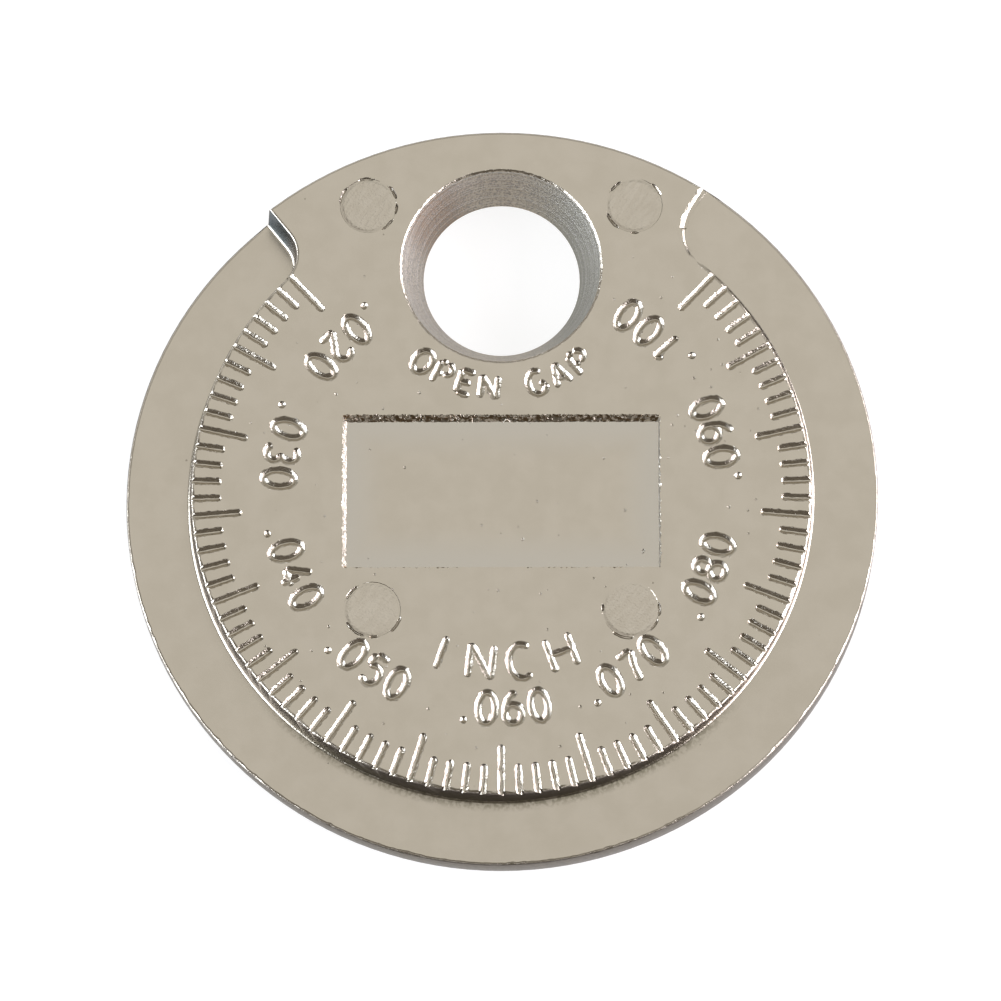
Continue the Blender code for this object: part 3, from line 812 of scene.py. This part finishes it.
# The rim's side carries painted shade: a dark colour with a slightly lighter grain.
side_shade_colour = blend_colours(ramp_between(grain, *SIDE_GRAIN_SHARES), SIDE_SHADE, SIDE_SHADE_GRAIN)
with_side = blend_colours(on_side, with_cone, side_shade_colour)
links.new(with_side, shader.inputs["Base Color"])
dull = calculate('MULTIPLY', in_cone, CONE_DULLNESS)
dull = calculate('MAXIMUM', dull, calculate('MULTIPLY', on_side, SIDE_DULLNESS))
dull = calculate('MAXIMUM', dull, calculate('MULTIPLY', steep, STEEP_DULLNESS))
satin = ramp_between(mottle, *MOTTLE_SHARES, NICKEL_ROUGHNESS, NICKEL_ROUGHNESS + MOTTLE_ROUGHNESS)
links.new(calculate('ADD', satin, dull), shader.inputs["Roughness"])
relief = calculate('MULTIPLY', grain, GRAIN_RELIEF)
relief = calculate('ADD', relief, calculate('MULTIPLY', mottle, MOTTLE_RELIEF))
rings = calculate('MULTIPLY', cone_rings.outputs["Fac"], in_cone)
relief = calculate('ADD', relief, calculate('MULTIPLY', rings, RING_RELIEF))
sandy = calculate('MULTIPLY', sloping, SLOPING_SAND)
sandy = calculate('MAXIMUM', sandy, calculate('MULTIPLY', in_mark, MARK_SAND))
sandy = calculate('MAXIMUM', sandy, calculate('MULTIPLY', steep, in_recess_wall))
sandy = calculate('MAXIMUM', in_cone, sandy)
relief = calculate('ADD', relief, calculate('MULTIPLY', calculate('MULTIPLY', sand, sandy), SAND_RELIEF))
sawn = calculate('MULTIPLY', hatching, in_mark)
relief = calculate('ADD', relief, calculate('MULTIPLY', sawn, HATCHING_RELIEF))
relief = calculate('SUBTRACT', relief, calculate('MULTIPLY', pit, PIT_RELIEF))
skin = nodes.new("ShaderNodeBump")
skin.inputs["Strength"].default_value = 1.0
skin.inputs["Distance"].default_value = MM
links.new(relief, skin.inputs["Height"])
links.new(skin.outputs["Normal"], shader.inputs["Normal"])
gauge.data.materials.clear()
gauge.data.materials.append(nickel)

# The face was polished level and the hole is a true cone, so both are shaded as if they were perfect, and
# the soft lips of the cuts are shaded round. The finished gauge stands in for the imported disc.
SOFT_ANGLE = math.radians(50.0)
SOFT_LIP = math.cos(SOFT_ANGLE)
PLATEAU = 0.999
GROOVE_FLOORS = (0.1 * MM, 0.16 * MM)
CONE_RADII = (4.0 * MM, 5.08 * MM)
NEAR_CONE = 0.01 * MM
LEVEL = 0.002 * MM
bpy.ops.object.select_all(action='DESELECT')
gauge.select_set(True)
bpy.context.view_layer.objects.active = gauge
bpy.ops.object.shade_smooth_by_angle(angle=SOFT_ANGLE)
plateau_normals = {}
for face in gauge.data.polygons:
    depth = THICKNESS - face.center.z
    in_groove = GROOVE_FLOORS[0] < depth < GROOVE_FLOORS[1] and face.center.xy.length < BOSS_RADIUS
    if face.normal.z > PLATEAU and not in_groove:
        for point in face.vertices:
            so_far = plateau_normals.get(point, Vector())
            plateau_normals[point] = so_far + face.normal * face.area
corner_normals = [corner.vector.copy() for corner in gauge.data.corner_normals]
cone_slope = (CONE_RADII[1] - CONE_RADII[0]) / THICKNESS
for face in gauge.data.polygons:
    spots = [gauge.data.vertices[point].co for point in face.vertices]
    outward = [Vector((spot.x, spot.y - HOLE_CENTRE_Y, 0.0)) for spot in spots]
    off_cone = [abs(out.length - CONE_RADII[0] - cone_slope * spot.z) for out, spot in zip(outward, spots)]
    heights = [spot.z for spot in spots]
    level = max(heights) - min(heights) < LEVEL
    if max(off_cone) < NEAR_CONE and not level:
        for corner, out in zip(face.loop_indices, outward):
            corner_normals[corner] = (Vector((0.0, 0.0, cone_slope)) - out.normalized()).normalized()
    elif face.normal.z > SOFT_LIP or level:
        for corner, point in zip(face.loop_indices, face.vertices):
            if point in plateau_normals:
                corner_normals[corner] = plateau_normals[point].normalized()
gauge.data.normals_split_custom_set(corner_normals)
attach(gauge, "root")
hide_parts("gauge_disc")

# The table under the gauge is a plain white board, which fills the view. Its own white glow is seen by the
# camera and in the metal, and it takes the gauge's soft shadow.
BOARD_SIZE = 4.0
BOARD_BELOW = 0.02 * MM
BOARD_COLOUR = (0.3, 0.3, 0.3, 1.0)
BOARD_ROUGHNESS = 0.9
BOARD_GLOW = 0.8
bpy.ops.object.select_all(action='DESELECT')
bpy.ops.mesh.primitive_plane_add(size=BOARD_SIZE, location=(0.0, 0.0, -BOARD_BELOW))
board = bpy.context.object
board.name = "white_board"
bpy.ops.object.transform_apply(location=True, rotation=True, scale=True)
paper = bpy.data.materials.new("white_paper")
paper.use_nodes = True
nodes = paper.node_tree.nodes
links = paper.node_tree.links
shader = nodes["Principled BSDF"]
shader.inputs["Base Color"].default_value = BOARD_COLOUR
shader.inputs["Roughness"].default_value = BOARD_ROUGHNESS
light_path = nodes.new("ShaderNodeLightPath")
seen = nodes.new("ShaderNodeMath")
seen.operation = 'MAXIMUM'
links.new(light_path.outputs["Is Camera Ray"], seen.inputs[0])
links.new(light_path.outputs["Is Glossy Ray"], seen.inputs[1])
glow = nodes.new("ShaderNodeMath")
glow.operation = 'MULTIPLY'
glow.inputs[1].default_value = BOARD_GLOW
links.new(seen.outputs["Value"], glow.inputs[0])
shader.inputs["Emission Color"].default_value = (1.0, 1.0, 1.0, 1.0)
links.new(glow.outputs["Value"], shader.inputs["Emission Strength"])
board.data.materials.append(paper)

# The studio has one large soft light overhead and two narrower ones, low at the right and at the left,
# which draw the bright edges of the engraving. The room behind them is dim on one side.
LIGHT_DISTANCE = 0.6
WARM_WHITE = (1.0, 0.98, 0.95)
COOL_WHITE = (0.95, 0.91, 1.0)
WINDOW_WHITE = (0.84, 0.9, 1.0)


def add_soft_light(name, azimuth, elevation, width, height, radiance, colour):
    """A rectangular light that faces the gauge, its strength given as its brightness."""
    bpy.ops.object.select_all(action='DESELECT')
    round_gauge = math.radians(azimuth)
    above_table = math.radians(elevation)
    light_place = (
        LIGHT_DISTANCE * math.cos(above_table) * math.cos(round_gauge),
        LIGHT_DISTANCE * math.cos(above_table) * math.sin(round_gauge),
        LIGHT_DISTANCE * math.sin(above_table),
    )
    light_turn = (math.pi / 2.0 - above_table, 0.0, round_gauge + math.pi / 2.0)
    bpy.ops.object.light_add(type='AREA', location=light_place, rotation=light_turn)
    lamp = bpy.context.object
    lamp.name = name
    lamp.data.shape = 'RECTANGLE'
    lamp.data.size = width
    lamp.data.size_y = height
    lamp.data.energy = radiance * math.pi * width * height
    lamp.data.color = colour
    lamp.visible_camera = False


add_soft_light("overhead_light", azimuth=70.0, elevation=78.0, width=0.6, height=0.5, radiance=0.38,
               colour=WARM_WHITE)
add_soft_light("right_light", azimuth=-3.0, elevation=16.0, width=0.8, height=0.38, radiance=9.0,
               colour=COOL_WHITE)
add_soft_light("left_light", azimuth=191.0, elevation=16.0, width=0.54, height=0.38, radiance=9.0,
               colour=WINDOW_WHITE)
ROOM_BRIGHT_SIDE = (0.5, 0.866, 0.0)
ROOM_TURNS_BRIGHT = (-0.35, 0.25)
ROOM_DIM = (0.16, 0.14, 0.115, 1.0)
ROOM_BRIGHT = (0.6, 0.59, 0.56, 1.0)
world = bpy.data.worlds.new("studio_room")
bpy.context.scene.world = world
world.use_nodes = True
nodes = world.node_tree.nodes
links = world.node_tree.links
room = nodes["Background"]
room.inputs["Strength"].default_value = 1.0
outlook = nodes.new("ShaderNodeTexCoord")
lean = nodes.new("ShaderNodeVectorMath")
lean.operation = 'DOT_PRODUCT'
lean.inputs[1].default_value = ROOM_BRIGHT_SIDE
links.new(outlook.outputs["Generated"], lean.inputs[0])
walls = nodes.new("ShaderNodeMapRange")
walls.interpolation_type = 'SMOOTHSTEP'
walls.inputs["From Min"].default_value = ROOM_TURNS_BRIGHT[0]
walls.inputs["From Max"].default_value = ROOM_TURNS_BRIGHT[1]
links.new(lean.outputs["Value"], walls.inputs["Value"])
room_tone = nodes.new("ShaderNodeMix")
room_tone.data_type = 'RGBA'
room_tone.inputs[6].default_value = ROOM_DIM
room_tone.inputs[7].default_value = ROOM_BRIGHT
links.new(walls.outputs["Result"], room_tone.inputs["Factor"])
links.new(room_tone.outputs[2], room.inputs["Color"])
backdrop = nodes.new("ShaderNodeBackground")
backdrop.inputs["Color"].default_value = (1.0, 1.0, 1.0, 1.0)
backdrop.inputs["Strength"].default_value = 1.0
light_path = nodes.new("ShaderNodeLightPath")
choice = nodes.new("ShaderNodeMixShader")
links.new(light_path.outputs["Is Camera Ray"], choice.inputs[0])
links.new(room.outputs["Background"], choice.inputs[1])
links.new(backdrop.outputs["Background"], choice.inputs[2])
links.new(choice.outputs["Shader"], nodes["World Output"].inputs["Surface"])

# The camera looks down at the scale face, 15 degrees from straight above it. It stands well away and has a
# long lens, as for a shop's picture of a small tool.
CAMERA_TILT = math.radians(15.0)
CAMERA_ROLL_OUT = math.radians(0.4)
CAMERA_DISTANCE = 376.6 * MM
CAMERA_AIM = (-0.04 * MM, -0.48 * MM, THICKNESS)
CAMERA_SENSOR = 36.0
CAMERA_LENS = 268.2
bpy.ops.object.select_all(action='DESELECT')
bpy.ops.object.camera_add(rotation=(CAMERA_TILT, CAMERA_ROLL_OUT, 0.0))
camera = bpy.context.object
camera.name = "studio_camera"
camera.data.sensor_width = CAMERA_SENSOR
camera.data.lens = CAMERA_LENS
bpy.context.view_layer.update()
backwards = camera.matrix_world.to_3x3().col[2]
camera.location = tuple(aim + CAMERA_DISTANCE * away for aim, away in zip(CAMERA_AIM, backwards))
bpy.context.scene.camera = camera
bpy.context.scene.view_settings.view_transform = 'Standard'
